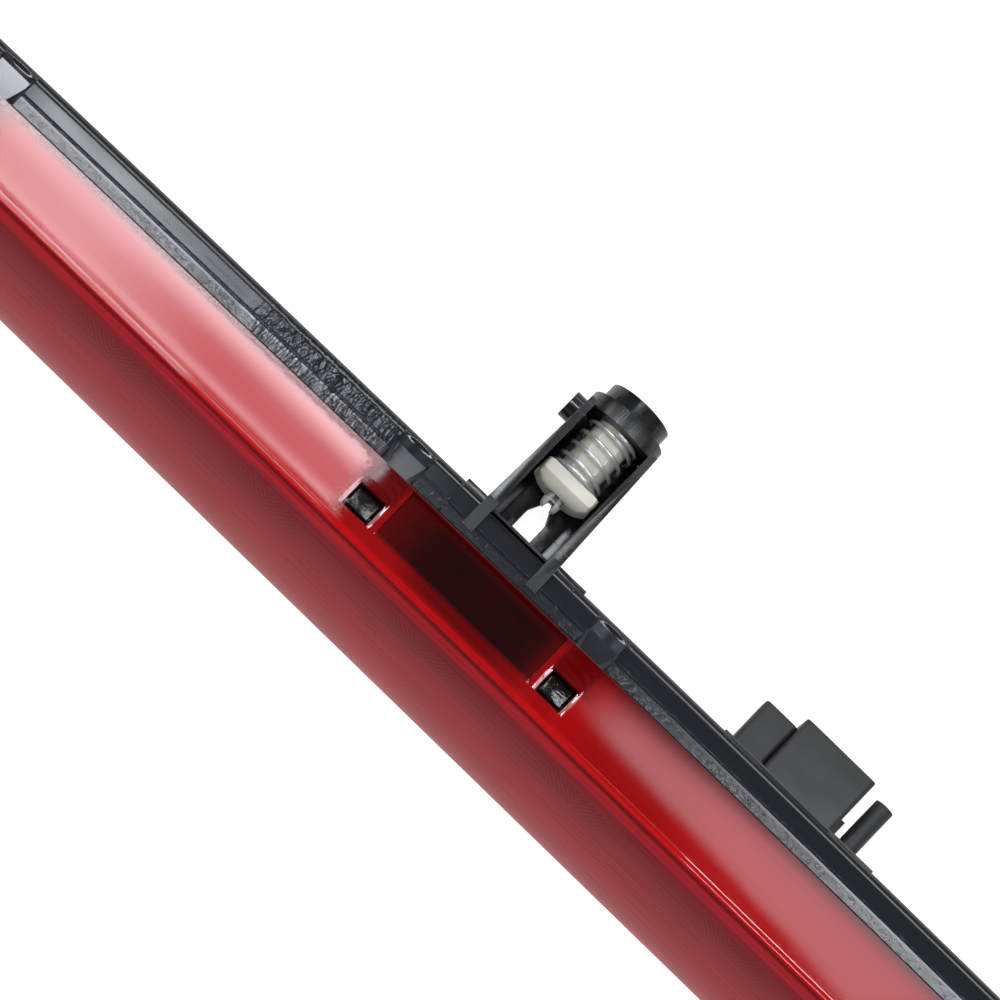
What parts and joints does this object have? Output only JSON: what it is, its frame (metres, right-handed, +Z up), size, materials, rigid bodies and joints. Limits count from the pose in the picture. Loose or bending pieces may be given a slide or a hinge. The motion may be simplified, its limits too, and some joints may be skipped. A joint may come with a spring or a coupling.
{
  "type": "third brake light",
  "caption": "Long high-mount stop lamp: red domed lens snapped on a black bowed housing, sprung screw plungers in two rear towers, socket with locating peg.",
  "frame": {"origin": "middle of the seating plane at the back of the lamp, on the face of the connector's plate, midway between the two towers", "axes": "+X along the lamp, +Y towards the vehicle (the lens faces -Y), +Z up"},
  "size_m": [0.484, 0.0762, 0.023],
  "materials": {
    "black_housing": "satin to glossy moulded black polypropylene blend",
    "red_lens": "transparent red acrylic, polished outside, fluted inside",
    "seal_bead": "soft black sealing bead",
    "black_tower": "satin moulded black nylon",
    "ivory_plastic": "satin moulded ivory acetal",
    "spring_steel": "bright zinc-plated spring wire",
    "clear_nylon": "milky translucent nylon",
    "black_connector": "fine matt moulded black",
    "tinned_brass": "tin-plated brass blade",
    "seal_rubber": "matt black rubber",
    "white_membrane": "white breathable membrane",
    "board_laminate": "green solder mask over glass laminate",
    "led_package": "white package with a clear dome",
    "chip_resistor": "black glaze",
    "chip_capacitor": "tan ceramic",
    "diode_moulding": "moulded black epoxy",
    "zinc_screw": "zinc-plated steel",
    "dark_shield": "fine matt black",
    "clear_optic": "pink-tinted clear acrylic"
  },
  "bodies": {
    "lamp": {"housing": "black_housing", "outer_lens": "red_lens", "lens_seal": "seal_bead", "left_spring_tower": "black_tower", "right_spring_tower": "black_tower", "left_spring": "spring_steel", "right_spring": "spring_steel", "connector_header": "black_connector", "connector_terminals": "tinned_brass", "connector_seal": "seal_rubber", "breather_membrane": "white_membrane", "led_board": "board_laminate", "leds": "led_package", "resistors": "chip_resistor", "capacitors": "chip_capacitor", "diode": "diode_moulding", "board_screws": "zinc_screw", "light_shield": "dark_shield", "inner_optic": "clear_optic"},
    "left_plunger_set": {"left_plunger": "ivory_plastic", "left_grommet": "clear_nylon"},
    "right_plunger_set": {"right_plunger": "ivory_plastic", "right_grommet": "clear_nylon"}
  },
  "joints": [
    {"name": "left_plunger_slide", "type": "slide", "parent": "lamp", "child": "left_plunger_set", "axis": [0, 1, 0], "range_m": [0, 0.0075], "stiffness_N_per_m": 1100, "springref_m": -0.008, "deforming": ["left_spring"]},
    {"name": "right_plunger_slide", "type": "slide", "parent": "lamp", "child": "right_plunger_set", "axis": [0, 1, 0], "range_m": [0, 0.0075], "stiffness_N_per_m": 1100, "springref_m": -0.008, "deforming": ["right_spring"]}
  ]
}
